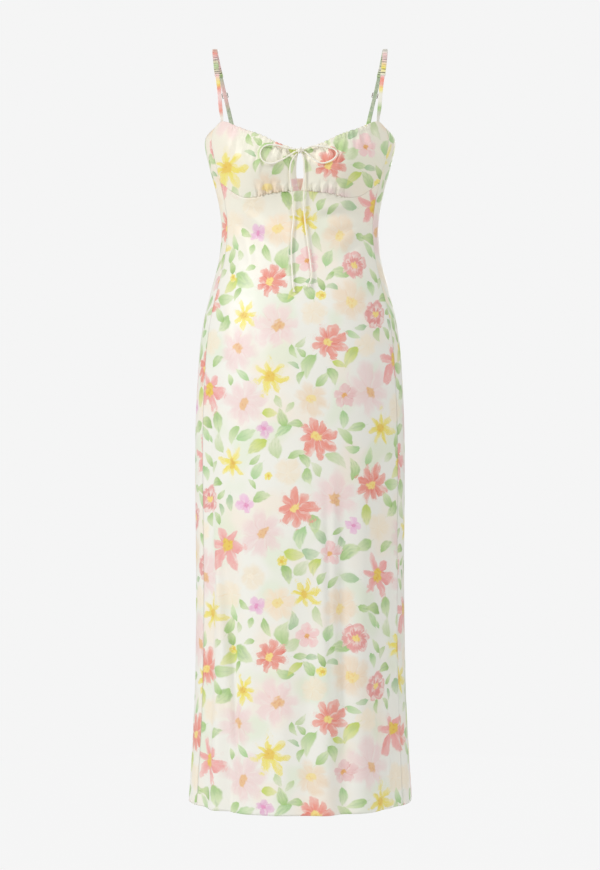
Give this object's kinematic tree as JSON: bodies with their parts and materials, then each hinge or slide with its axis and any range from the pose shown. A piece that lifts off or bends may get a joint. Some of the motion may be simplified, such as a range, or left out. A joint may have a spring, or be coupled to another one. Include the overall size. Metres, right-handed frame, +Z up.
{
  "type": "midi slip dress",
  "caption": "Midi slip dress with gathered bust cups, a keyhole front tied in a bow, thin adjustable straps and a straight skirt, held open as worn.",
  "frame": {"origin": "midway between the shoulders, at the height where the underside of the two straps rests on them", "axes": "+Z up, towards the straps; the front of the dress faces -Y; +X is the wearer's left"},
  "size_m": [0.3703, 0.2872, 1.2432],
  "materials": {
    "printed_satin": "soft satin weave, ivory with watercolour flowers and leaves",
    "ivory_satin": "plain ivory satin rouleau cord",
    "strap_metal": "polished pale metal wire and sliders",
    "zip_tape": "woven ivory zip tape with fine coil"
  },
  "bodies": {
    "root": {"front_panel": "printed_satin", "back_panel": "printed_satin", "cup_left": "printed_satin", "cup_right": "printed_satin", "strap_front_left": "printed_satin", "strap_front_right": "printed_satin", "strap_ruched_left": "printed_satin", "strap_ruched_right": "printed_satin", "strap_back_left": "printed_satin", "strap_back_right": "printed_satin", "ring_tab_left": "printed_satin", "ring_tab_right": "printed_satin", "slider_left": "strap_metal", "slider_right": "strap_metal", "ring_left": "strap_metal", "ring_right": "strap_metal", "tie_knot": "ivory_satin", "tie_loop_left": "ivory_satin", "tie_loop_right": "ivory_satin", "tie_tail_left": "ivory_satin", "tie_tail_right": "ivory_satin", "tie_tip_left": "ivory_satin", "tie_tip_right": "ivory_satin", "side_zip": "zip_tape"}
  },
  "joints": []
}
